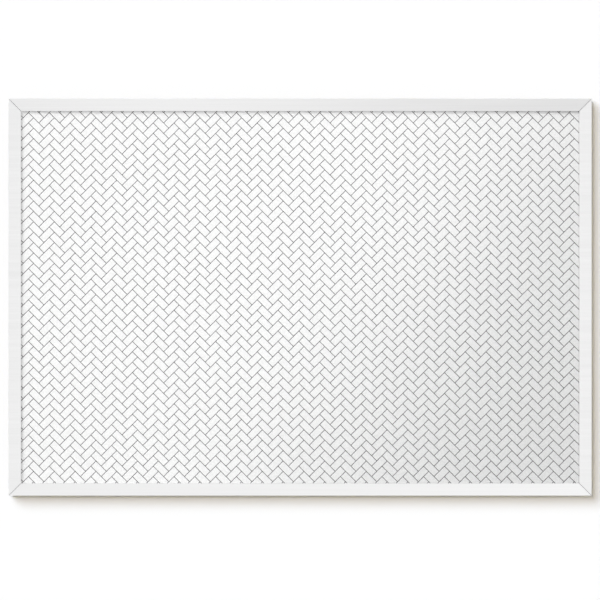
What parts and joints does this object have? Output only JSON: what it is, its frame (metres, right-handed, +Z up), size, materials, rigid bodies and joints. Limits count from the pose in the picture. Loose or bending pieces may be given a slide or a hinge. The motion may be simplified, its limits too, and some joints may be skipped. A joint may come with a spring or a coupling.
{
  "type": "magnetic memo board",
  "caption": "Wall magnetic memo board: herringbone-printed steel panel in a slim mitred brushed aluminium frame, hung by sliding hangers with folding rings.",
  "frame": {"origin": "on the wall plane, midway between the two wall hooks that bear in the folded-up rings", "axes": "+X to the viewer's right along the top rail, +Z up, +Y back into the wall; the printed panel faces -Y"},
  "size_m": [0.6266, 0.02, 0.4266],
  "materials": {
    "frame_aluminium": "extruded aluminium, brushed in fine straight lines and clear anodised",
    "printed_film": "satin film, white with a fine grey herringbone of 2 to 1 tiles",
    "zinc_sheet": "zinc coated steel sheet, sheared edges",
    "hardboard": "3 mm hardboard, smooth brown fibre face",
    "spring_steel": "tempered spring steel, dull grey",
    "zinc_plated_steel": "bright zinc plate, stamped and turned",
    "bumper_rubber": "moulded soft rubber"
  },
  "bodies": {
    "board": {"top_rail": "frame_aluminium", "bottom_rail": "frame_aluminium", "left_stile": "frame_aluminium", "right_stile": "frame_aluminium", "printed_film": "printed_film", "steel_sheet": "zinc_sheet", "backing_board": "hardboard", "spring_top_1": "spring_steel", "spring_top_2": "spring_steel", "spring_top_3": "spring_steel", "spring_bottom_1": "spring_steel", "spring_bottom_2": "spring_steel", "spring_bottom_3": "spring_steel", "spring_left_1": "spring_steel", "spring_left_2": "spring_steel", "spring_right_1": "spring_steel", "spring_right_2": "spring_steel", "corner_angle_top_left": "zinc_plated_steel", "corner_shim_top_left": "zinc_plated_steel", "set_screw_top_left_rail": "zinc_plated_steel", "set_screw_top_left_stile": "zinc_plated_steel", "corner_angle_top_right": "zinc_plated_steel", "corner_shim_top_right": "zinc_plated_steel", "set_screw_top_right_rail": "zinc_plated_steel", "set_screw_top_right_stile": "zinc_plated_steel", "corner_angle_bottom_right": "zinc_plated_steel", "corner_shim_bottom_right": "zinc_plated_steel", "set_screw_bottom_right_rail": "zinc_plated_steel", "set_screw_bottom_right_stile": "zinc_plated_steel", "corner_angle_bottom_left": "zinc_plated_steel", "corner_shim_bottom_left": "zinc_plated_steel", "set_screw_bottom_left_rail": "zinc_plated_steel", "set_screw_bottom_left_stile": "zinc_plated_steel", "bumper_top_left": "bumper_rubber", "bumper_top_right": "bumper_rubber", "bumper_bottom_left": "bumper_rubber", "bumper_bottom_right": "bumper_rubber"},
    "hanger_left": {"slide_nut_left": "zinc_plated_steel", "hanger_strap_left": "zinc_plated_steel", "hanger_screw_left": "zinc_plated_steel"},
    "ring_left": {"hanger_ring_left": "zinc_plated_steel"},
    "hanger_right": {"slide_nut_right": "zinc_plated_steel", "hanger_strap_right": "zinc_plated_steel", "hanger_screw_right": "zinc_plated_steel"},
    "ring_right": {"hanger_ring_right": "zinc_plated_steel"}
  },
  "joints": [
    {"name": "hanger_left_slide", "type": "slide", "parent": "board", "child": "hanger_left", "axis": [1, 0, 0], "range_m": [-0.072, 0.19]},
    {"name": "ring_left_hinge", "type": "hinge", "parent": "hanger_left", "child": "ring_left", "pos_m": [-0.2, -0.0029, -0.013], "axis": [1, 0, 0], "range_deg": [-40, 170]},
    {"name": "hanger_right_slide", "type": "slide", "parent": "board", "child": "hanger_right", "axis": [1, 0, 0], "range_m": [-0.19, 0.072]},
    {"name": "ring_right_hinge", "type": "hinge", "parent": "hanger_right", "child": "ring_right", "pos_m": [0.2, -0.0029, -0.013], "axis": [1, 0, 0], "range_deg": [-40, 170]}
  ]
}
